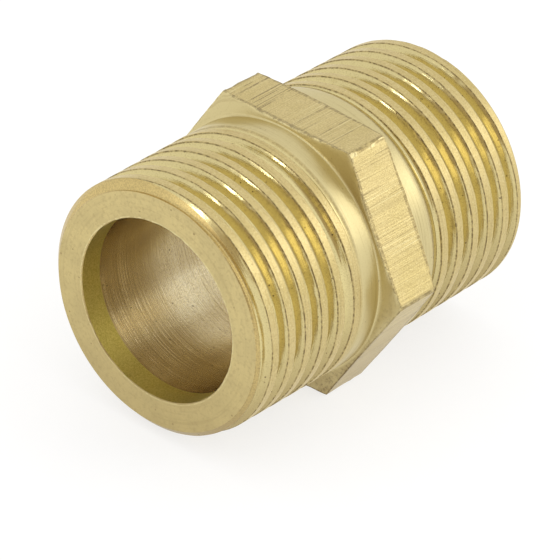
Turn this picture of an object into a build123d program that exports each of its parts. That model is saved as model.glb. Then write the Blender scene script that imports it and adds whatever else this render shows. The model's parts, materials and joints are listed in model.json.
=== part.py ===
from build123d import *
from math import radians, tan
import os

# Hex nipple, 1/2-14 parallel pipe thread on both ends, turned from one hexagon brass bar.
# Millimetres. Origin at the centre of the hexagon on the pipe axis.
# +X runs along the pipe, +Z is normal to the top wrench flat, and two hexagon corners point along Y.

# overall
total_length = 30.4
bore_diameter = 14.4

# hexagon, whose side faces slope back slightly from the neck to the corners
across_flats = 21.0
width_at_neck = 4.5
width_at_corner = 3.95
shoulder_fillet = 0.2

# smooth necks, and crest lands that narrow slightly towards the free ends
neck_radius = 10.15
neck_length = 1.7
crest_radius_at_end = 10.08
end_chamfer = 0.6

# thread form: 14 threads per inch, 55 degree flanks, flat crests
pitch = 25.4 / 14
root_radius = 18.631 / 2
root_flat = 0.3
flank_half_angle = 27.5
runout_length = 2.1

# each helix starts with a groove centre at the top of the thread, at this place along the pipe
left_helix_start = -16.85
right_helix_start = 2.35
helix_length = 14.0

half_length = total_length / 2
corner_radius = across_flats / 3**0.5
neck_start = width_at_neck / 2
thread_start = neck_start + neck_length
cutter_radius = neck_radius + 0.4


def groove_section():
    """Axial section of the thread groove, as seen where its helix starts."""
    root_half = root_flat / 2
    top_half = root_half + (cutter_radius - root_radius) * tan(radians(flank_half_angle))
    Polyline(
        (-root_half, root_radius),
        (root_half, root_radius),
        (top_half, cutter_radius),
        (-top_half, cutter_radius),
        close=True,
    )


def die_reach_section():
    """Half section of the room the threading die reaches on the +X end, ever shallower near the neck."""
    slope = (neck_radius - root_radius) / runout_length
    low = root_radius - 0.2
    high = cutter_radius + 0.2
    Polyline(
        (thread_start + (neck_radius - low) / slope, low),
        (half_length + 4, low),
        (half_length + 4, high),
        (thread_start + (neck_radius - high) / slope, high),
        close=True,
    )


def die_reach(side):
    """The die's room as a solid, on the +X end for side 1 and on the -X end for side -1."""
    with BuildPart() as reach:
        with BuildSketch(Plane.XY):
            with BuildLine():
                die_reach_section()
            make_face()
        revolve(axis=Axis.X)
    return reach.part if side > 0 else reach.part.mirror(Plane.YZ)


def thread_groove(helix_start, side):
    """The right-hand helical groove that is cut away for one thread."""
    with BuildPart() as groove:
        with BuildLine() as path:
            Helix(pitch, helix_length, root_radius, center=(helix_start, 0, 0), direction=(1, 0, 0))
        with BuildSketch(Plane((helix_start, 0, 0), x_dir=(1, 0, 0), z_dir=(0, -1, 0))):
            with BuildLine():
                groove_section()
            make_face()
        sweep(path=path.wire(), is_frenet=True)
        add(die_reach(side), mode=Mode.INTERSECT)
    return groove.part


def outer_section():
    """Half section of the turned outside on the +X end, left as wide as the bar at the hexagon."""
    Polyline(
        (0, 0),
        (0, corner_radius + 1),
        (width_at_corner / 2, corner_radius + 1),
        (width_at_corner / 2, corner_radius),
        (neck_start, neck_radius),
        (thread_start, neck_radius),
        (half_length - end_chamfer, crest_radius_at_end),
        (half_length, crest_radius_at_end - end_chamfer),
        (half_length, 0),
        close=True,
    )


with BuildPart() as nipple_body:
    with BuildSketch(Plane.XY):
        with BuildLine():
            outer_section()
        make_face()
        mirror(about=Plane.YZ)
    revolve(axis=Axis.X)

    # the bar's six flats
    with BuildSketch(Plane.YZ.offset(-half_length)):
        RegularPolygon(across_flats / 2, 6, major_radius=False)
    extrude(amount=total_length, mode=Mode.INTERSECT)

    # small fillets where the necks meet the hexagon
    circles = nipple_body.edges().filter_by(GeomType.CIRCLE)
    fillet(circles.filter_by_position(Axis.X, -neck_start, -neck_start), shoulder_fillet)
    circles = nipple_body.edges().filter_by(GeomType.CIRCLE)
    fillet(circles.filter_by_position(Axis.X, neck_start, neck_start), shoulder_fillet)

    # threads
    add(thread_groove(left_helix_start, -1), mode=Mode.SUBTRACT)
    add(thread_groove(right_helix_start, 1), mode=Mode.SUBTRACT)

    # through bore
    with Locations(Location((0, 0, 0), (0, 90, 0))):
        Cylinder(bore_diameter / 2, total_length, mode=Mode.SUBTRACT)

nipple_body.part.label = "nipple_body"

os.makedirs("parts", exist_ok=True)
export_step(nipple_body.part, "parts/nipple_body.step")
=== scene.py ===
import json
import math

import bpy
import numpy as np
from mathutils import Matrix, Vector


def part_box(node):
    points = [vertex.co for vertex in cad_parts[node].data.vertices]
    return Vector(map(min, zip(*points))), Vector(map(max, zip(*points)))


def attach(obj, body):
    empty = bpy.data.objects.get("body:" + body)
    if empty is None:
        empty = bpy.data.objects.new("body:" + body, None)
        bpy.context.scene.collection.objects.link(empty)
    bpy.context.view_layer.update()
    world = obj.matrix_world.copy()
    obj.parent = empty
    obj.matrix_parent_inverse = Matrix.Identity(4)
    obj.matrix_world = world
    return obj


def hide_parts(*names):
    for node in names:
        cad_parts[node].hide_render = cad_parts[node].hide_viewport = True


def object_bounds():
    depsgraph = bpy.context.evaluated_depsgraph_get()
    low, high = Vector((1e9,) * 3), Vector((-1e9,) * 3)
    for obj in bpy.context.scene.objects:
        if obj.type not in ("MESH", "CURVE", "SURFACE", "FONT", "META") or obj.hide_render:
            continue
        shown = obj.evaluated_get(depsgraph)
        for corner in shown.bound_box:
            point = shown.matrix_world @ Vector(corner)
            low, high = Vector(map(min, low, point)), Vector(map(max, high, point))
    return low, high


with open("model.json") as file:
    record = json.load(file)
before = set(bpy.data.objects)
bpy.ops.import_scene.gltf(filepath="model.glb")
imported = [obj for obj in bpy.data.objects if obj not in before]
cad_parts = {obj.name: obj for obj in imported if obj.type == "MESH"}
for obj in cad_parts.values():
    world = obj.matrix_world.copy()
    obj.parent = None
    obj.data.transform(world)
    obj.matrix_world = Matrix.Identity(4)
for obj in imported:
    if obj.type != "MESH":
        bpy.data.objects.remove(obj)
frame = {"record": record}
cad_low, cad_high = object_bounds()

MM = 0.001

# ---------------------------------------------------------------- sizes, in metres, from the frame

mounts = {m["name"]: m for m in frame["record"]["mounts"]}
low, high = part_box("nipple_body")
HALF_LENGTH = high[0]
CORNER_RADIUS = high[1]
FLAT_RADIUS = high[2]
BORE_RADIUS = mounts["bore"]["dims"]["r_mm"] * MM
NECK_RADIUS = mounts["thread_left"]["dims"]["r_mm"] * MM

# hexagon and neck, as distances from the hexagon's centre along the pipe
EDGE_X = 1.975 * MM
NECK_X = 2.25 * MM
THREAD_X = 3.95 * MM
FILLET = 0.09 * MM

# wear: rounded-down corners, ragged edges and one chip on an upper front corner. CORNER_UNEVEN is
# how much the noise changes the wear, and EDGE_POWER how sharply the raggedness rises to the edge
CORNER_LAND = 0.01 * MM
CORNER_WEAR = 0.06 * MM
CORNER_UNEVEN = 0.9
EDGE_NIBBLE = 0.03 * MM
EDGE_SWELL = 0.02 * MM
EDGE_POWER = 6
CHIP_NORMAL = (-0.12, -0.72, 0.68)
CHIP_DEPTH = 0.12 * MM
CHIP_REACH = 2 * MM

# bore: worn mouth and how uneven it is, smooth band inside it, and the direction (Y, Z) of its painted
# shade
MOUTH_BEVEL = 0.06 * MM
MOUTH_UNEVEN = 0.5
BAND_DEPTH = 1.93 * MM
BORE_SHADE_AXIS = (0.72, 0.69)

# thread: 14 turns to the inch, 55 degree flanks, flat crests that narrow from the neck to the chamfer
# and a little way into it, as far as CREST_RUN times that distance
PITCH = 25.4 * MM / 14
ROOT_RADIUS = 18.631 * MM / 2
CREST_RADIUS_AT_END = 10.08 * MM
ROOT_HALF = 0.15 * MM
FLANK = math.tan(math.radians(27.5))
RUNOUT = 2.1 * MM
END_CHAMFER = 0.6 * MM
CREST_RUN = 1.1
GROOVE_AT_TOP = {-1: -16.85 * MM, 1: 2.35 * MM}

# thread: rounding where its surfaces meet, slow waviness, and tearing close to the crest edges
ROOT_ROUNDING = 0.12 * MM
RUNOUT_ROUNDING = 0.05 * MM
CREST_ROUNDING = 0.035 * MM
CHAMFER_ROUNDING = 0.05 * MM
FLANK_SWELL = 0.006 * MM
CREST_SWELL = 0.004 * MM
TORN_EDGE = 0.028 * MM
TORN_DEPTH = 0.25 * MM

# camera, in degrees, metres and millimetres of sensor and lens
AZIMUTH = -52.37
ELEVATION = 32.88
ROLL = 5.2
CAMERA_DISTANCE = 0.3664
CAMERA_RIGHT = -0.0009
CAMERA_UP = -0.0034
LENS = 318.3
SENSOR = 36
NEAR_CLIP = 0.01

# dome brightness by height of the direction, from the horizon (0) to overhead (1), times its strength
DOME = ((0.0, 0.53), (0.15, 0.50), (0.60, 0.49), (0.90, 0.53))
DOME_STRENGTH = 2.0

# brown wall on one side of the room: where it is, and the cosines between which it fades in
WALL_SIDE = (-0.90, -0.39, 0.16)
WALL_COLOUR = (0.26, 0.213, 0.15)
WALL_FADE = (0.76, 0.93)

# lamps: direction from the object, width and height in metres, watts
LAMP_DISTANCE = 1.0
KEY_LAMP = ((0.57, -0.66, 0.48), (0.64, 0.56), 1.5)
SPARK_LAMP = ((-0.934, 0.256, 0.249), (0.06, 0.15), 0.42)

LIGHT_BOUNCES = 16

FLOOR_HALF = 3.0
FLOOR_GLOW = 0.735

# mesh density: steps round the pipe, extra ones in degrees beside each corner, and steps along each part
STEPS_ROUND = 270
BY_CORNER = (-0.8, -0.4, 0.4, 0.8)
END_ZONE = 1.1 * MM
END_STEPS = 23
NECK_STEPS = 6
FACE_STEPS = 7
BORE_STEPS = 25
FILLET_ANGLES = (25, 50, 75)
SHOULDER_PLACES = (0, 0.15, 0.3, 0.5, 0.7, 0.85, 0.94, 1)
FLAT_PLACES = (0.2, 0.45, 0.65, 0.8, 0.9, 0.97)

# mesh lines that follow the thread, in millimetres from the groove's centre, closest at the crest edge
GROOVE_PLACES = (0.0, 0.13, 0.23, 0.39, 0.52, 0.56, 0.585, 0.61, 0.65)

# turns of the helix on either side of GROOVE_AT_TOP, more than either thread needs
TURNS = range(-9, 18)

# points closer than this become one, and faces this close to a surface belong to it
MERGE_STEP = 0.0001 * MM
FACE_STEP = 0.001 * MM
BORE_STEP = 0.01 * MM

# cosines: a face points along the pipe above the first, and belongs to the chip above the second
ALONG_PIPE = 0.5
ON_CHIP = 0.985


# ---------------------------------------------------------------- smooth noise

# how many times its usual size the noise reaches at most, so that it stays within about -1 to 1
NOISE_PEAK = 1.6


def waves(seed, count, low_freq, high_freq):
    """Sine waves in fixed random directions, with frequencies in radians per metre."""
    rng = np.random.default_rng(seed)
    direction = rng.normal(size=(count, 3))
    direction /= np.linalg.norm(direction, axis=1)[:, None]
    freq = np.exp(rng.uniform(math.log(low_freq), math.log(high_freq), count))
    return direction * freq[:, None], rng.uniform(0, 2 * math.pi, count), rng.uniform(0.5, 1.0, count)


def noise(points, spec):
    """The noise of waves() at points in metres, about -1 to 1."""
    direction, phase, weight = spec
    total = np.zeros(len(points))
    for d, p, w in zip(direction, phase, weight):
        total += w * np.sin(points @ d + p)
    return total / np.sqrt((weight**2).sum() / 2) / NOISE_PEAK


TEAR = waves(3, 24, 2500, 12000)
SWELL = waves(5, 12, 300, 1500)
NIBBLE = waves(7, 16, 3000, 9000)


# ---------------------------------------------------------------- outline of the body

def soft_min(a, b, k):
    """The smaller of a and b, rounded over a width k where they cross."""
    h = np.clip(0.5 + 0.5 * (b - a) / k, 0, 1)
    return b * (1 - h) + a * h - k * h * (1 - h)


def soft_max(a, b, k):
    """The larger of a and b, rounded over a width k where they cross."""
    return -soft_min(-a, -b, k)


def crest_radius(out):
    """Radius of the crests at a distance |x|, which narrow slightly towards the free end."""
    run = (out - THREAD_X) / (HALF_LENGTH - END_CHAMFER - THREAD_X)
    return NECK_RADIUS + (CREST_RADIUS_AT_END - NECK_RADIUS) * np.clip(run, 0, CREST_RUN)


def from_groove(x, theta, side):
    """Distance along the pipe to the centre of the nearest turn of the groove."""
    groove_x = GROOVE_AT_TOP[side] - PITCH * (theta - math.pi / 2) / (2 * math.pi)
    turns = (x - groove_x) / PITCH
    return np.abs((turns - np.round(turns)) * PITCH)


def groove_radius(x, theta, side, crest, tear, swell):
    """Radius of the groove's flanks and root, torn near the crest and shallower near the neck."""
    off = from_groove(x, theta, side) - ROOT_HALF + FLANK_SWELL * swell
    near_crest = np.clip((off / FLANK - (crest - ROOT_RADIUS)) / TORN_DEPTH + 1, 0, 1)
    groove = ROOT_RADIUS + (off + TORN_EDGE * tear * near_crest**2) / FLANK
    groove = soft_max(groove, np.full_like(x, ROOT_RADIUS), ROOT_ROUNDING)
    die = NECK_RADIUS - (np.abs(x) - THREAD_X) * (NECK_RADIUS - ROOT_RADIUS) / RUNOUT
    return soft_max(groove, die, RUNOUT_ROUNDING)


def thread_radius(x, theta, side):
    """Radius of the outside at x, and at an angle theta that runs from -Y over +Z to +Y."""
    out = np.abs(x)
    crest = crest_radius(out)
    points = np.stack([x, -NECK_RADIUS * np.cos(theta), NECK_RADIUS * np.sin(theta)], -1)
    tear = noise(points.reshape(-1, 3), TEAR).reshape(x.shape)
    swell = noise(points.reshape(-1, 3), SWELL).reshape(x.shape)
    groove = groove_radius(x, theta, side, crest, tear, swell)
    radius = soft_min(crest + CREST_SWELL * swell, groove, CREST_ROUNDING)
    chamfer = CREST_RADIUS_AT_END - END_CHAMFER + (HALF_LENGTH - out)
    return soft_min(radius, chamfer, CHAMFER_ROUNDING)


def hexagon_radius(theta):
    """Distance from the axis to the hexagon's outline, with a narrow land left on each corner."""
    turn = math.pi / 3
    from_flat = np.mod(theta, turn) - turn / 2
    return np.minimum(FLAT_RADIUS / np.cos(from_flat), CORNER_RADIUS - CORNER_LAND)


# ---------------------------------------------------------------- mesh

def angles():
    """Even steps round the pipe in radians, with extra ones close to each hexagon corner."""
    even = np.arange(STEPS_ROUND) * (360 / STEPS_ROUND)
    near = [60 * k + d for k in range(6) for d in BY_CORNER]
    return np.radians(np.unique(np.round(np.concatenate([even, np.mod(near, 360)]), 4)))


THETA_CLOSED = np.append(angles(), 2 * math.pi)


def helix_columns(side):
    """Axial places of the mesh lines that follow the thread, one row per line, for every angle."""
    one_side = {*GROOVE_PLACES, PITCH / MM / 2}
    turn = np.array(sorted({-place for place in GROOVE_PLACES} | one_side)) * MM
    first = GROOVE_AT_TOP[side]
    lines = np.concatenate([first + k * PITCH + turn for k in TURNS])
    grid = lines[:, None] - PITCH * (THETA_CLOSED[None, :] - math.pi / 2) / (2 * math.pi)
    inner, outer = THREAD_X, HALF_LENGTH - END_ZONE
    limits = (inner, outer) if side > 0 else (-outer, -inner)
    grid = np.clip(grid, *limits)
    keep = [i for i in range(len(grid)) if not np.all(grid[i] == grid[i, 0])]
    keep = [keep[0] - 1, *keep, keep[-1] + 1]
    return grid[keep]


def straight_columns(places):
    """Axial places of mesh lines that run straight round the pipe, for every angle."""
    return np.repeat(np.array(places)[:, None], len(THETA_CLOSED), axis=1)


def ring(x, radius):
    """Points at x and radius, both per angle, over the closed turn."""
    t = THETA_CLOSED
    x = np.broadcast_to(x, t.shape)
    radius = np.broadcast_to(radius, t.shape)
    return np.stack([x, -radius * np.cos(t), radius * np.sin(t)], -1)


def thread_rings(side):
    """Rings of points from the free end to the start of the neck."""
    end = straight_columns(side * np.linspace(HALF_LENGTH, HALF_LENGTH - END_ZONE, END_STEPS)[:-1])
    helix = helix_columns(side)
    if side > 0:
        helix = helix[::-1]
    grid = np.concatenate([end, helix])
    theta = np.broadcast_to(THETA_CLOSED, grid.shape)
    radius = thread_radius(grid, theta, side)
    return [ring(x, r) for x, r in zip(grid, radius)]


def edge_distance(radius, side):
    """Distance |x| of the sloping side face at a radius, and how ragged its outer edge is there."""
    slope = (NECK_X - EDGE_X) / (CORNER_RADIUS - NECK_RADIUS)
    points = ring(side * EDGE_X, radius)
    rag = EDGE_NIBBLE * (noise(points, NIBBLE) - 1) + EDGE_SWELL * (noise(points, SWELL) - 1)
    return NECK_X - slope * (radius - NECK_RADIUS), rag


def shoulder_rings(side):
    """Rings from the start of the thread over the neck and its fillet to the hexagon's edge."""
    rings = []
    for x in np.linspace(THREAD_X, NECK_X + FILLET, NECK_STEPS)[1:]:
        rings.append(ring(side * x, NECK_RADIUS))
    for a in np.radians(FILLET_ANGLES):
        x = NECK_X + FILLET * (1 - math.sin(a))
        rings.append(ring(side * x, NECK_RADIUS + FILLET * (1 - math.cos(a))))
    start = NECK_RADIUS + FILLET * 1.1
    outline = hexagon_radius(THETA_CLOSED)
    for f in SHOULDER_PLACES:
        radius = start + (outline - start) * f
        x, rag = edge_distance(radius, side)
        rings.append(ring(side * (x + rag * f**EDGE_POWER), radius))
    return rings


def chip_direction():
    """Unit vector along which the chip's surface faces."""
    return np.array(CHIP_NORMAL) / np.linalg.norm(CHIP_NORMAL)


def wear(rings):
    """Rubs the hexagon's corners down unevenly and cuts a chip off the upper front one on the -X side."""
    normal = chip_direction()
    corner = np.array([-EDGE_X, -CORNER_RADIUS / 2, FLAT_RADIUS])
    limit = corner @ normal - CHIP_DEPTH
    for points in rings:
        radius = np.hypot(points[:, 1], points[:, 2])
        cap = CORNER_RADIUS - CORNER_WEAR * (1 + CORNER_UNEVEN * noise(points, NIBBLE))
        points[:, 1:] *= np.minimum(1, cap / radius)[:, None]
        near = np.linalg.norm(points - corner, axis=1) < CHIP_REACH
        over = np.maximum(points @ normal - limit, 0) * near
        points -= over[:, None] * normal
    return rings


def flat_rings():
    """Rings across the hexagon's flats, from the -X edge to the +X edge."""
    outline = hexagon_radius(THETA_CLOSED)
    rings = []
    for f in (*(-place for place in FLAT_PLACES[::-1]), 0.0, *FLAT_PLACES):
        x, rag = edge_distance(outline, np.sign(f))
        rings.append(ring((x + rag) * f, outline))
    return rings


def face_rings(side):
    """Rings over an end face, from its outer edge to the worn edge of the bore."""
    outer = thread_radius(np.full_like(THETA_CLOSED, side * HALF_LENGTH), THETA_CLOSED, side)
    uneven = MOUTH_UNEVEN * noise(ring(side * HALF_LENGTH, BORE_RADIUS), TEAR)
    mouth = BORE_RADIUS + MOUTH_BEVEL * (1 + uneven)
    places = np.linspace(1, 0, FACE_STEPS)[1:]
    return [ring(side * HALF_LENGTH, mouth + (outer - mouth) * f) for f in places]


def bore_rings():
    """Rings along the bore, from the -X mouth to the +X mouth."""
    places = np.linspace(-1, 1, BORE_STEPS)[1:-1] * HALF_LENGTH
    inside = HALF_LENGTH - MOUTH_BEVEL
    return [ring(x, BORE_RADIUS) for x in (-inside, *places, inside)]


def body_rings():
    """All rings, once round the section: out along the outside and back through the bore."""
    left = thread_rings(-1) + wear(shoulder_rings(-1))
    right = thread_rings(1) + wear(shoulder_rings(1))
    outside = left + wear(flat_rings()) + right[::-1]
    return face_rings(-1)[::-1] + outside + face_rings(1) + bore_rings()[::-1]


def closed_mesh(name, rings):
    """A closed mesh through rings that form a loop, with coincident points merged."""
    points = np.concatenate(rings)
    count, around = len(rings), len(THETA_CLOSED)
    key = np.round(points / MERGE_STEP).astype(np.int64)
    _, first, index = np.unique(key, axis=0, return_index=True, return_inverse=True)
    index = index.reshape(count, around)
    j = np.arange(count)
    k = (j + 1) % count
    quads = np.stack([index[k, :-1], index[k, 1:], index[j, 1:], index[j, :-1]], -1).reshape(-1, 4)
    faces = []
    for quad in quads.tolist():
        face = [v for n, v in enumerate(quad) if v != quad[n - 1]]
        if len(set(face)) == len(face) and len(face) > 2:
            faces.append(face)
    mesh = bpy.data.meshes.new(name)
    mesh.from_pydata(points[first].tolist(), [], faces)
    mesh.validate()
    return mesh


def add_object(name, data):
    """A new object with a mesh, camera or light, linked into the scene."""
    made = bpy.data.objects.new(name, data)
    bpy.context.collection.objects.link(made)
    return made


def face_zones(mesh):
    """Index into ZONES for each face, from where it lies and which way it points."""
    count = len(mesh.polygons)
    centre, normal = np.empty(count * 3), np.empty(count * 3)
    mesh.polygons.foreach_get("center", centre)
    mesh.polygons.foreach_get("normal", normal)
    centre, normal = centre.reshape(-1, 3), normal.reshape(-1, 3)
    radius = np.hypot(centre[:, 1], centre[:, 2])
    out = np.abs(centre[:, 0])
    level = np.abs(normal[:, 0]) < ALONG_PIPE
    zone = np.full(count, ZONES.index("turned"))
    zone[out > HALF_LENGTH - FACE_STEP] = ZONES.index("end")
    zone[(radius < BORE_RADIUS + BORE_STEP) & level] = ZONES.index("bore")
    zone[(radius > NECK_RADIUS + FILLET) & level & (out < NECK_X)] = ZONES.index("flat")
    chipped = normal @ chip_direction() > ON_CHIP
    zone[chipped & (zone == ZONES.index("flat"))] = ZONES.index("turned")
    return zone


def sharp_between(mesh, zone):
    """Marks an edge as sharp where the faces beside it lie in different zones."""
    sides = np.empty(len(mesh.loops), dtype=np.int32)
    mesh.loops.foreach_get("edge_index", sides)
    totals = np.empty(len(mesh.polygons), dtype=np.int32)
    mesh.polygons.foreach_get("loop_total", totals)
    per_loop = np.repeat(zone, totals)
    lowest = np.full(len(mesh.edges), len(ZONES))
    highest = np.full(len(mesh.edges), -1)
    np.minimum.at(lowest, sides, per_loop)
    np.maximum.at(highest, sides, per_loop)
    sharp = mesh.attributes.new("sharp_edge", "BOOLEAN", "EDGE")
    sharp.data.foreach_set("value", lowest != highest)


def build_body():
    """The whole nipple as one piece, with a finish for each zone."""
    mesh = closed_mesh("nipple_brass", body_rings())
    zone = face_zones(mesh)
    for name in ZONES:
        mesh.materials.append(FINISH[name]())
    mesh.polygons.foreach_set("material_index", zone.astype(np.int32))
    mesh.polygons.foreach_set("use_smooth", [True] * len(mesh.polygons))
    sharp_between(mesh, zone)
    return add_object("nipple_brass", mesh)


# ---------------------------------------------------------------- materials

# base colours of the metal
BRASS = (0.64, 0.515, 0.235, 1)
BRASS_DEEP = (0.605, 0.485, 0.205, 1)
BRASS_DULL = (0.565, 0.46, 0.215, 1)
BRASS_END = (0.645, 0.53, 0.25, 1)
BRASS_CUT = (0.66, 0.56, 0.27, 1)
BRASS_ROOT = (0.71, 0.605, 0.29, 1)
BRASS_CHAMFER = (0.64, 0.485, 0.19, 1)
BRASS_SMOOTH = (0.635, 0.54, 0.275, 1)
BRASS_BRIGHT = (0.75, 0.65, 0.34, 1)
# tarnish and dirt colours, for real tarnish and dirt, and also for painted shade low down on the outside
TARNISH_AND_PAINTED_SHADE = (0.36, 0.27, 0.12, 1)
DIRT_AND_PAINTED_SHADE = (0.16, 0.11, 0.05, 1)

# bore: dull and bright brushing near the mouth and deeper in, lighter deeper in as painted light, bright
# hairlines, colour of the painted shade and olive band
MOUTH_BRUSHED = ((0.52, 0.43, 0.27, 1), (0.67, 0.58, 0.40, 1))
DEEP_BRUSHED_PAINTED_LIGHT = ((0.94, 0.88, 0.73, 1), (1.0, 0.98, 0.90, 1))
HAIRLINE = (0.99, 0.94, 0.80, 1)
BORE_PAINTED_SHADE = (0.46, 0.36, 0.19, 1)
BAND_OLIVE = ((0.62, 0.54, 0.14, 1), (0.84, 0.74, 0.26, 1))

PAPER_DARK = (0.28, 0.28, 0.28, 1)
PAPER_LIGHT = (0.30, 0.30, 0.30, 1)
PAPER_GLOW = (1.0, 0.998, 0.995, 1)

# turned brass: depths below the neck radius between which a groove, its dirty edge and a crest fade
GROOVE_FADE = (0.18 * MM, 0.08 * MM)
EDGE_STARTS = (0.17 * MM, 0.09 * MM)
EDGE_ENDS = (0.05 * MM, 0.02 * MM)

# heights above the root radius and above the neck radius
ROOT_FADE = (0.25 * MM, 0.50 * MM)
SHOULDER_FADE = (0.05 * MM, 0.25 * MM)

# distances along the pipe: thread from its start, chamfer, and dirt from the end face
THREAD_FADE = 0.3 * MM
CHAMFER_FADE = 0.02 * MM
LIP_FADE = (0.08 * MM, 0.03 * MM)

# distances inside the hexagon's outline, its side edges and its corners
BRIM_FADE = (0.13 * MM, 0.05 * MM)
SIDE_FADE = (0.17 * MM, 0.08 * MM)
CORNER_FADE = (0.13 * MM, 0.09 * MM)
TOP_FADE = (0.1 * MM, 0.02 * MM)

# distance from the bore's edge over the end face, and half the width of the olive band's edge
MOUTH_FADE = (0.12 * MM, 0.22 * MM)
BAND_FADE = 0.04 * MM

# bump depths
TURNED_RELIEF = 0.025 * MM
END_RELIEF = 0.013 * MM
BORE_RELIEF = 0.011 * MM
FLAT_RELIEF = 0.03 * MM
PAPER_RELIEF = 0.05 * MM


class Graph:
    """Short names for the shader nodes the materials use. Noise scales count features per metre."""

    def __init__(self, name):
        self.material = bpy.data.materials.new(name)
        self.material.use_nodes = True
        self.nodes = self.material.node_tree.nodes
        self.links = self.material.node_tree.links
        self.shader = self.nodes["Principled BSDF"]
        coordinates = self.nodes.new("ShaderNodeTexCoord")
        self.place = coordinates.outputs["Object"]
        split = self.nodes.new("ShaderNodeSeparateXYZ")
        self.links.new(self.place, split.inputs[0])
        self.x, self.y, self.z = split.outputs
        facing = self.nodes.new("ShaderNodeSeparateXYZ")
        self.links.new(coordinates.outputs["Normal"], facing.inputs[0])
        self.normal_x = facing.outputs[0]

    def put(self, socket, value):
        """Sets a socket to a number or colour, or links another socket to it."""
        if isinstance(value, (int, float, tuple)):
            socket.default_value = value
        else:
            self.links.new(value, socket)

    def math(self, operation, a, b=0.0, c=0.0):
        """The result of a math node on up to three values."""
        node = self.nodes.new("ShaderNodeMath")
        node.operation = operation
        for socket, value in zip(node.inputs, (a, b, c)):
            self.put(socket, value)
        return node.outputs[0]

    def times(self, first, *others):
        """The product of two or more values."""
        for value in others:
            first = self.math("MULTIPLY", first, value)
        return first

    def size(self, value):
        """The value without its sign."""
        return self.math("ABSOLUTE", value)

    def rest(self, value):
        """What is left of 1 beside the value."""
        return self.math("SUBTRACT", 1.0, value)

    def radius(self):
        """Distance from the pipe axis, in metres."""
        squares = self.math("ADD", self.times(self.y, self.y), self.times(self.z, self.z))
        return self.math("SQRT", squares)

    def hexagon(self):
        """Distance from the axis to the flat that a point lies under."""
        half = self.math("MULTIPLY", self.size(self.z), 0.5)
        slanted = self.math("MULTIPLY_ADD", self.size(self.y), math.sqrt(0.75), half)
        return self.math("MAXIMUM", self.size(self.z), slanted)

    def stretch(self, x, y, z):
        """Object coordinates scaled by x, y and z."""
        node = self.nodes.new("ShaderNodeMapping")
        self.links.new(self.place, node.inputs["Vector"])
        node.inputs["Scale"].default_value = (x, y, z)
        return node.outputs[0]

    def even(self, scale):
        """Object coordinates scaled the same way in all directions."""
        return self.stretch(scale, scale, scale)

    def circles(self, out, round_it):
        """Coordinates for noise drawn out into circles: scales along the radius and round the pipe."""
        node = self.nodes.new("ShaderNodeCombineXYZ")
        self.put(node.inputs[0], self.math("MULTIPLY", self.radius(), out))
        self.put(node.inputs[1], self.math("MULTIPLY", self.y, round_it))
        self.put(node.inputs[2], self.math("MULTIPLY", self.z, round_it))
        return node.outputs[0]

    def noise(self, vector, detail=3.0, rough=0.6):
        """Smooth noise from 0 to 1 with features one unit of the vector wide."""
        node = self.nodes.new("ShaderNodeTexNoise")
        self.links.new(vector, node.inputs["Vector"])
        node.inputs["Scale"].default_value = 1.0
        node.inputs["Detail"].default_value = detail
        node.inputs["Roughness"].default_value = rough
        return node.outputs["Fac"]

    def cells(self, vector):
        """Distance to the nearest of many scattered points, one per unit cell, and a number per cell."""
        node = self.nodes.new("ShaderNodeTexVoronoi")
        self.links.new(vector, node.inputs["Vector"])
        node.inputs["Scale"].default_value = 1.0
        return node.outputs["Distance"], node.outputs["Color"]

    def ramp(self, value, start, end, low=0.0, high=1.0):
        """Value mapped from start-end to low-high with soft ends."""
        node = self.nodes.new("ShaderNodeMapRange")
        node.interpolation_type = "SMOOTHSTEP"
        for name, number in (("Value", value), ("From Min", start), ("From Max", end),
                             ("To Min", low), ("To Max", high)):
            self.put(node.inputs[name], number)
        return node.outputs[0]

    def inside(self, value, limit, depths, low=0.0, high=1.0):
        """Ramp between two depths inside a limit."""
        return self.ramp(value, limit - depths[0], limit - depths[1], low, high)

    def beyond(self, value, limit, heights, low=0.0, high=1.0):
        """Ramp between two heights beyond a limit."""
        return self.ramp(value, limit + heights[0], limit + heights[1], low, high)

    def mix(self, factor, a, b):
        """Colour a where factor is 0 and b where it is 1."""
        node = self.nodes.new("ShaderNodeMix")
        node.data_type = "RGBA"
        self.put(node.inputs["Factor"], factor)
        for socket, value in ((node.inputs[6], a), (node.inputs[7], b)):
            self.put(socket, value)
        return node.outputs[2]

    def bump(self, height, distance, strength=1.0):
        """Relief from a height of 0 to 1 that stands for a distance."""
        node = self.nodes.new("ShaderNodeBump")
        self.links.new(height, node.inputs["Height"])
        node.inputs["Distance"].default_value = distance
        node.inputs["Strength"].default_value = strength
        self.links.new(node.outputs[0], self.shader.inputs["Normal"])

    def pits(self, per_metre, size, share):
        """1 inside scattered pits, in a share of the cells and up to a share size of a cell wide."""
        distance, colour = self.cells(self.even(per_metre))
        split = self.nodes.new("ShaderNodeSeparateColor")
        self.links.new(colour, split.inputs[0])
        chosen = self.math("LESS_THAN", split.outputs[0], share)
        width = self.math("MULTIPLY", split.outputs[1], size)
        within = self.ramp(self.math("DIVIDE", distance, width), 0.6, 1.0, 1.0, 0.0)
        return self.times(within, chosen)

    def finish(self, colour, roughness):
        """The finished metal with a colour and a roughness."""
        self.shader.inputs["Metallic"].default_value = 1.0
        self.put(self.shader.inputs["Base Color"], colour)
        self.put(self.shader.inputs["Roughness"], roughness)
        return self.material


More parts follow.
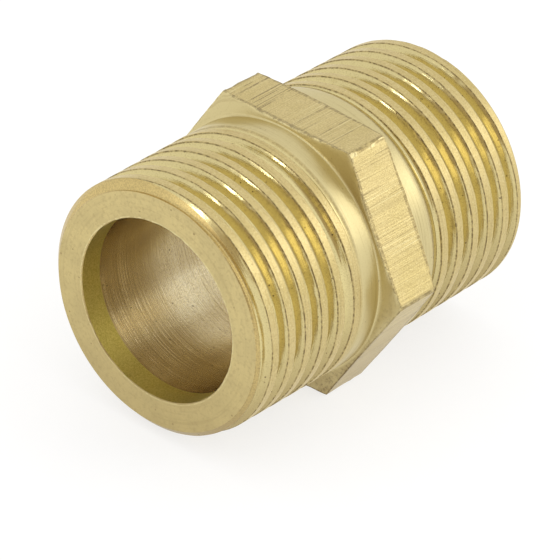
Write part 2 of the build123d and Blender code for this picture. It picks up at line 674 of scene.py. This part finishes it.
class Turned(Graph):
    """Noises and masks of the turned brass, which covers threads, necks and shoulders."""

    def __init__(self, name):
        super().__init__(name)
        self.out = self.size(self.x)
        self.from_axis = self.radius()
        self.lines = self.noise(self.stretch(9000, 150, 150), 4.0, 0.7)
        self.grain = self.noise(self.even(8000), 3.0, 0.75)
        self.ragged = self.noise(self.even(3500), 5.0, 0.75)
        self.patches = self.noise(self.even(350), 4.0, 0.6)
        self.groove = self.inside(self.from_axis, NECK_RADIUS, GROOVE_FADE, 1.0, 0.0)
        self.threaded = self.ramp(self.out, THREAD_X, THREAD_X + THREAD_FADE)
        self.crest = self.times(self.threaded, self.rest(self.groove))
        chamfer = HALF_LENGTH - END_CHAMFER
        self.end = self.ramp(self.out, chamfer - CHAMFER_FADE, chamfer)
        # painted shade: a mask from 0.75 at the bottom to none above, which darkens grooves and shoulders
        # towards the bottom
        self.low = self.ramp(self.z, -0.8 * FLAT_RADIUS, 0.3 * FLAT_RADIUS, 0.75, 0.0)


def turned_bump(g):
    """Turning lines, cutter marks down the grooves and grainy crests."""
    marks = g.times(g.groove, g.noise(g.circles(11000.0, 200.0), 2.0, 0.7))
    height = g.math("ADD", g.math("MULTIPLY", g.lines, 0.4), g.math("MULTIPLY", marks, 0.45))
    height = g.math("ADD", height, g.times(g.grain, g.math("MULTIPLY_ADD", g.crest, 0.5, 0.06)))
    g.bump(height, TURNED_RELIEF, 0.5)


def metal_colour(g):
    """Clean metal of crests, necks and grooves, with tarnish in its lines and grain."""
    colour = g.mix(g.ramp(g.patches, 0.35, 0.7), BRASS, BRASS_DEEP)
    colour = g.mix(g.rest(g.threaded), colour, BRASS_SMOOTH)
    colour = g.mix(g.ramp(g.lines, 0.52, 0.68, 0.0, 0.4), colour, TARNISH_AND_PAINTED_SHADE)
    colour = g.mix(g.times(g.crest, g.ramp(g.grain, 0.32, 0.47, 0.75, 0.0)), colour, BRASS_BRIGHT)
    grainy = g.math("MULTIPLY_ADD", g.crest, 0.35, 0.2)
    colour = g.mix(g.times(grainy, g.ramp(g.grain, 0.52, 0.68)), colour, TARNISH_AND_PAINTED_SHADE)
    root = g.beyond(g.from_axis, ROOT_RADIUS, ROOT_FADE, 1.0, 0.0)
    colour = g.mix(g.groove, colour, g.mix(root, BRASS_CUT, BRASS_ROOT))
    return g.mix(g.times(g.groove, g.ramp(g.grain, 0.5, 0.7, 0.0, 0.5)), colour, TARNISH_AND_PAINTED_SHADE)


def dirty_crest_edges(g, colour):
    """Ragged dark lines on the flanks, just below the crests."""
    below = g.inside(g.from_axis, NECK_RADIUS, EDGE_STARTS)
    above = g.inside(g.from_axis, NECK_RADIUS, EDGE_ENDS, 1.0, 0.0)
    slope = g.ramp(g.size(g.normal_x), 0.25, 0.5)
    edge = g.times(below, above, slope)
    return g.mix(g.times(edge, g.ramp(g.ragged, 0.42, 0.57, 0.25, 0.9)), colour, DIRT_AND_PAINTED_SHADE)


def brown_chamfer(g, colour):
    """A browner chamfer at each free end, with a tarnished lip."""
    colour = g.mix(g.math("MULTIPLY", g.end, 0.85), colour, BRASS_CHAMFER)
    colour = g.mix(g.times(g.end, g.ramp(g.grain, 0.40, 0.60, 0.0, 0.5)), colour, TARNISH_AND_PAINTED_SHADE)
    lip = g.inside(g.out, HALF_LENGTH, LIP_FADE)
    return g.mix(g.times(lip, g.ramp(g.ragged, 0.45, 0.6, 0.0, 0.8)), colour, TARNISH_AND_PAINTED_SHADE)


def shoulder_dirt_and_painted_shade(g, colour):
    """Burrs and dirt round the hexagon's outline, and painted shade low down: tarnish and ragged dirt
    colours that darken grooves, shoulders and the hexagon's edge towards the bottom.
    """
    brim = g.inside(g.hexagon(), FLAT_RADIUS, BRIM_FADE)
    colour = g.mix(g.times(brim, g.ramp(g.ragged, 0.38, 0.46, 0.8, 0.0)), colour, BRASS_BRIGHT)
    colour = g.mix(g.times(brim, g.ramp(g.ragged, 0.49, 0.60, 0.0, 0.55)), colour, DIRT_AND_PAINTED_SHADE)
    shoulder = g.beyond(g.from_axis, NECK_RADIUS, SHOULDER_FADE)
    patchy_shoulder = g.times(shoulder, g.ramp(g.patches, 0.30, 0.62, 0.5, 1.0))
    # painted shade from here on: tarnish and dirt colours only low down, on grooves, shoulders and the
    # hexagon's lower edge
    colour = g.mix(g.times(g.math("ADD", g.groove, patchy_shoulder), g.low), colour, TARNISH_AND_PAINTED_SHADE)
    colour = g.mix(g.times(patchy_shoulder, g.low, g.ramp(g.ragged, 0.52, 0.62)), colour, DIRT_AND_PAINTED_SHADE)
    brim_dirt_and_painted_shade = g.times(brim, g.low, g.ramp(g.ragged, 0.38, 0.50, 0.5, 1.0))
    return g.mix(brim_dirt_and_painted_shade, colour, DIRT_AND_PAINTED_SHADE)


def turned_brass():
    """Threads and necks: fine lines round the pipe, grainy crests with dark edges, glossy grooves."""
    g = Turned("brass_turned")
    turned_bump(g)
    colour = dirty_crest_edges(g, metal_colour(g))
    colour = shoulder_dirt_and_painted_shade(g, brown_chamfer(g, colour))
    specks = g.times(g.pits(2600, 0.26, 0.22), g.math("MULTIPLY_ADD", g.groove, 0.6, 0.3))
    colour = g.mix(specks, colour, DIRT_AND_PAINTED_SHADE)
    dull = g.math("MULTIPLY_ADD", g.crest, 0.05, g.ramp(g.patches, 0.3, 0.7, 0.35, 0.41))
    dull = g.times(dull, g.rest(g.groove))
    glossy = g.math("MULTIPLY_ADD", g.end, 0.20, 0.15)
    return g.finish(colour, g.math("MULTIPLY_ADD", g.groove, glossy, dull))


def end_brass():
    """End faces: matt and a little mottled, with faint turning rings, and painted shade low down in the
    tarnish colour.
    """
    g = Graph("brass_end")
    lines = g.noise(g.circles(4500.0, 120.0), 3.0, 0.7)
    patches = g.noise(g.even(450), 5.0, 0.7)
    grain = g.noise(g.even(3500), 4.0, 0.7)
    g.bump(g.math("ADD", lines, grain), END_RELIEF, 0.6)
    colour = g.mix(g.ramp(patches, 0.35, 0.65), BRASS_DULL, BRASS_END)
    colour = g.mix(g.ramp(lines, 0.5, 0.7, 0.0, 0.25), colour, TARNISH_AND_PAINTED_SHADE)
    colour = g.mix(g.ramp(grain, 0.48, 0.68, 0.0, 0.35), colour, TARNISH_AND_PAINTED_SHADE)
    rim = g.beyond(g.radius(), BORE_RADIUS, MOUTH_FADE, 1.0, 0.0)
    colour = g.mix(g.times(rim, g.ramp(grain, 0.45, 0.55, 0.1, 0.9)), colour, BRASS_BRIGHT)
    colour = g.mix(g.pits(1700, 0.20, 0.16), colour, TARNISH_AND_PAINTED_SHADE)
    # painted shade: tarnish colour darker towards the bottom of the end face
    colour = g.mix(g.ramp(g.z, -FLAT_RADIUS, 0.3 * FLAT_RADIUS, 0.38, 0.0), colour, TARNISH_AND_PAINTED_SHADE)
    return g.finish(colour, g.ramp(patches, 0.3, 0.7, 0.40, 0.50))


def brushed_colour(g, out, scratches, grain):
    """Brushed metal of the bore, brighter deep inside as painted light, with broken hairlines and gouges
    round it.
    """
    breaks = g.noise(g.stretch(900, 500, 500), 3.0, 0.6)
    shine = g.ramp(scratches, 0.42, 0.60)
    shallow = g.mix(shine, *MOUTH_BRUSHED)
    deep = g.mix(shine, *DEEP_BRUSHED_PAINTED_LIGHT)
    # painted light: the bore's colour is lighter deep inside than near the mouths
    colour = g.mix(g.ramp(out, 0.34 * HALF_LENGTH, 0.64 * HALF_LENGTH), deep, shallow)
    hairs = g.times(g.ramp(scratches, 0.54, 0.61), g.ramp(breaks, 0.45, 0.55))
    colour = g.mix(g.math("MULTIPLY", hairs, 0.85), colour, HAIRLINE)
    gouges = g.times(g.ramp(scratches, 0.39, 0.45, 1.0, 0.0), g.ramp(breaks, 0.42, 0.55))
    colour = g.mix(g.math("MULTIPLY", gouges, 0.55), colour, TARNISH_AND_PAINTED_SHADE)
    return g.mix(g.ramp(grain, 0.48, 0.66, 0.0, 0.4), colour, TARNISH_AND_PAINTED_SHADE)


def bore_painted_shade_share(g):
    """Share of brown painted shade: two opposite sectors along the bore, with wavy edges."""
    patches = g.noise(g.even(250), 4.0, 0.6)
    along_y = g.math("MULTIPLY", g.y, BORE_SHADE_AXIS[0] / BORE_RADIUS)
    along_z = g.math("MULTIPLY", g.z, BORE_SHADE_AXIS[1] / BORE_RADIUS)
    across = g.math("ADD", along_y, along_z)
    wavy = g.math("MULTIPLY_ADD", patches, 0.30, -0.15)
    return g.ramp(g.size(g.math("ADD", across, wavy)), 0.44, 0.76, 0.0, 0.60)


def bore_brass():
    """Bore: brushed round, brighter deep inside as painted light, with brown painted shade along it and a
    smooth band just inside each mouth.
    """
    g = Graph("brass_bore")
    out = g.size(g.x)
    edge = HALF_LENGTH - BAND_DEPTH
    band = g.ramp(out, edge - BAND_FADE, edge + BAND_FADE)
    scratches = g.noise(g.stretch(13000, 20, 20), 3.0, 0.7)
    grain = g.noise(g.even(8000), 3.0, 0.7)
    height = g.math("ADD", g.times(scratches, g.rest(band)), g.math("MULTIPLY", grain, 0.4))
    g.bump(height, BORE_RELIEF, 0.6)
    colour = brushed_colour(g, out, scratches, grain)
    # painted shade: brown in two opposite sectors along the bore
    colour = g.mix(bore_painted_shade_share(g), colour, BORE_PAINTED_SHADE)
    colour = g.mix(g.pits(2600, 0.22, 0.22), colour, DIRT_AND_PAINTED_SHADE)
    colour = g.mix(band, colour, g.mix(g.ramp(grain, 0.3, 0.7), *BAND_OLIVE))
    return g.finish(colour, g.math("MULTIPLY_ADD", band, 0.25, 0.19))


def drawn_scratches(g, colour, deep):
    """Bright and dark scratches along the pipe, in clusters, darker on the top flat."""
    breaks = g.noise(g.stretch(700, 1800, 1800), 3.0, 0.6)
    cluster = g.ramp(g.noise(g.stretch(60, 500, 500), 2.0, 0.6), 0.40, 0.54)
    streak = g.times(g.ramp(deep, 0.36, 0.44, 1.0, 0.0), cluster)
    colour = g.mix(g.math("MULTIPLY", streak, 0.9), colour, BRASS_BRIGHT)
    top = g.inside(g.z, FLAT_RADIUS, TOP_FADE)
    worn = g.times(g.math("MULTIPLY_ADD", top, 0.35, 0.6), g.ramp(breaks, 0.40, 0.52))
    dark = g.times(g.ramp(deep, 0.56, 0.61), cluster, worn)
    return g.mix(dark, colour, DIRT_AND_PAINTED_SHADE), cluster


def flat_edge_dirt_and_painted_shade(g, colour):
    """Ragged dirt along a flat's side edges and corners, and painted shade low down in the tarnish
    colour.
    """
    ragged = g.noise(g.even(3500), 5.0, 0.75)
    side = g.inside(g.size(g.x), EDGE_X, SIDE_FADE)
    corner = g.inside(g.radius(), CORNER_RADIUS, CORNER_FADE)
    rim = g.times(g.math("MAXIMUM", side, corner), g.ramp(ragged, 0.40, 0.56, 0.1, 0.55))
    colour = g.mix(rim, colour, DIRT_AND_PAINTED_SHADE)
    # painted shade: tarnish colour darker towards the lower flats
    return g.mix(g.ramp(g.z, -FLAT_RADIUS, 0.1 * FLAT_RADIUS, 0.45, 0.0), colour, TARNISH_AND_PAINTED_SHADE)


def flat_brass():
    """Wrench flats: drawn bar with straight scratches along the pipe and ragged dark edges."""
    g = Graph("brass_flat")
    fine = g.noise(g.stretch(30, 10000, 10000), 3.0, 0.75)
    deep = g.noise(g.stretch(40, 7000, 7000), 3.0, 0.8)
    patches = g.noise(g.even(300), 4.0, 0.6)
    grain = g.noise(g.even(8500), 3.0, 0.75)
    colour = g.mix(g.ramp(patches, 0.35, 0.7), BRASS, BRASS_DEEP)
    colour = g.mix(g.ramp(grain, 0.48, 0.66, 0.0, 0.5), colour, TARNISH_AND_PAINTED_SHADE)
    colour = g.mix(g.ramp(grain, 0.32, 0.46, 0.6, 0.0), colour, BRASS_BRIGHT)
    colour = g.mix(g.ramp(fine, 0.52, 0.62, 0.0, 0.35), colour, TARNISH_AND_PAINTED_SHADE)
    colour, cluster = drawn_scratches(g, colour, deep)
    colour = flat_edge_dirt_and_painted_shade(g, colour)
    height = g.math("ADD", g.math("MULTIPLY", fine, 0.8), g.times(deep, cluster))
    g.bump(g.math("ADD", height, g.math("MULTIPLY", grain, 0.35)), FLAT_RELIEF, 0.7)
    return g.finish(colour, g.ramp(fine, 0.3, 0.7, 0.30, 0.42))


FINISH = {"turned": turned_brass, "end": end_brass, "bore": bore_brass, "flat": flat_brass}
ZONES = list(FINISH)


def floor_material():
    """Faintly fibrous pale paper that glows a little, so that it looks as white as the dome."""
    g = Graph("paper")
    fibre = g.noise(g.even(400), 4.0, 0.6)
    g.bump(fibre, PAPER_RELIEF, 0.1)
    g.finish(g.mix(fibre, PAPER_DARK, PAPER_LIGHT), 0.9)
    g.shader.inputs["Metallic"].default_value = 0.0
    g.shader.inputs["Emission Color"].default_value = PAPER_GLOW
    g.shader.inputs["Emission Strength"].default_value = FLOOR_GLOW
    return g.material


# ---------------------------------------------------------------- camera, floor and light

def build_floor():
    """A wide plain floor level with the object's lowest face."""
    mesh = bpy.data.meshes.new("floor")
    z = cad_low[2]
    signs = ((-1, -1), (1, -1), (1, 1), (-1, 1))
    corners = [(FLOOR_HALF * x, FLOOR_HALF * y, z) for x, y in signs]
    mesh.from_pydata(corners, [], [(0, 1, 2, 3)])
    floor = add_object("floor", mesh)
    floor.data.materials.append(floor_material())


def build_camera():
    """The photograph's viewing angle, with the camera rolled a little and moved to frame the object."""
    azimuth, elevation, roll = (math.radians(angle) for angle in (AZIMUTH, ELEVATION, ROLL))
    back = Vector((math.sin(azimuth) * math.cos(elevation),
                   -math.cos(azimuth) * math.cos(elevation),
                   math.sin(elevation)))
    level = Vector((0, 0, 1)).cross(back).normalized()
    above = back.cross(level)
    right = level * math.cos(roll) + above * math.sin(roll)
    up = above * math.cos(roll) - level * math.sin(roll)
    place = back * CAMERA_DISTANCE + right * CAMERA_RIGHT + up * CAMERA_UP
    camera = add_object("camera", bpy.data.cameras.new("camera"))
    camera.data.lens = LENS
    camera.data.sensor_width = SENSOR
    camera.data.clip_start = NEAR_CLIP
    camera.matrix_world = Matrix((
        (right.x, up.x, back.x, place.x),
        (right.y, up.y, back.y, place.y),
        (right.z, up.z, back.z, place.z),
        (0, 0, 0, 1)))
    bpy.context.scene.camera = camera


def area_light(name, direction, size, power):
    """A rectangular soft box in a direction from the object, facing it."""
    light = bpy.data.lights.new(name, "AREA")
    light.shape = "RECTANGLE"
    light.size, light.size_y = size
    light.energy = power
    made = add_object(name, light)
    direction = Vector(direction).normalized()
    made.location = direction * LAMP_DISTANCE
    made.rotation_mode = "QUATERNION"
    made.rotation_quaternion = (-direction).to_track_quat("-Z", "Y")


def grey(value):
    """A grey of one brightness, as a colour."""
    return (value, value, value, 1)


def dome_level(nodes, links, direction):
    """Brightness of the dome by the height of a direction."""
    split = nodes.new("ShaderNodeSeparateXYZ")
    links.new(direction, split.inputs[0])
    level = nodes.new("ShaderNodeValToRGB")
    links.new(split.outputs[2], level.inputs[0])
    stops = level.color_ramp.elements
    for stop, (place, value) in zip(stops, (DOME[0], DOME[-1])):
        stop.position = place
        stop.color = grey(value)
    for place, value in DOME[1:-1]:
        stops.new(place).color = grey(value)
    return level.outputs[0]


def wall_share(nodes, links, direction):
    """How much of the brown wall a direction sees, from 0 to 1."""
    toward = nodes.new("ShaderNodeVectorMath")
    toward.operation = "DOT_PRODUCT"
    links.new(direction, toward.inputs[0])
    toward.inputs[1].default_value = Vector(WALL_SIDE).normalized()
    share = nodes.new("ShaderNodeMapRange")
    share.interpolation_type = "SMOOTHSTEP"
    links.new(toward.outputs["Value"], share.inputs["Value"])
    share.inputs["From Min"].default_value, share.inputs["From Max"].default_value = WALL_FADE
    return share.outputs[0]


def build_dome():
    """A pale dome, a little brighter overhead and at the horizon, with a brown wall on the -X side."""
    world = bpy.data.worlds.new("studio")
    bpy.context.scene.world = world
    world.use_nodes = True
    nodes, links = world.node_tree.nodes, world.node_tree.links
    direction = nodes.new("ShaderNodeTexCoord").outputs["Generated"]
    room = nodes.new("ShaderNodeMix")
    room.data_type = "RGBA"
    links.new(wall_share(nodes, links, direction), room.inputs["Factor"])
    links.new(dome_level(nodes, links, direction), room.inputs[6])
    room.inputs[7].default_value = WALL_COLOUR + (1,)
    background = nodes["Background"]
    links.new(room.outputs[2], background.inputs["Color"])
    background.inputs["Strength"].default_value = DOME_STRENGTH


def build_light():
    """The dome, a soft box on the right, and a small lamp that makes white glints on the thread."""
    build_dome()
    area_light("key", *KEY_LAMP)
    area_light("spark", *SPARK_LAMP)


def build_view():
    """Plain display colours, and enough bounces for light between the thread's flanks."""
    scene = bpy.context.scene
    scene.view_settings.view_transform = "Standard"
    scene.cycles.max_bounces = LIGHT_BOUNCES
    scene.cycles.glossy_bounces = LIGHT_BOUNCES


body = build_body()
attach(body, "root")
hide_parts("nipple_body")

build_floor()
build_camera()
build_light()
build_view()
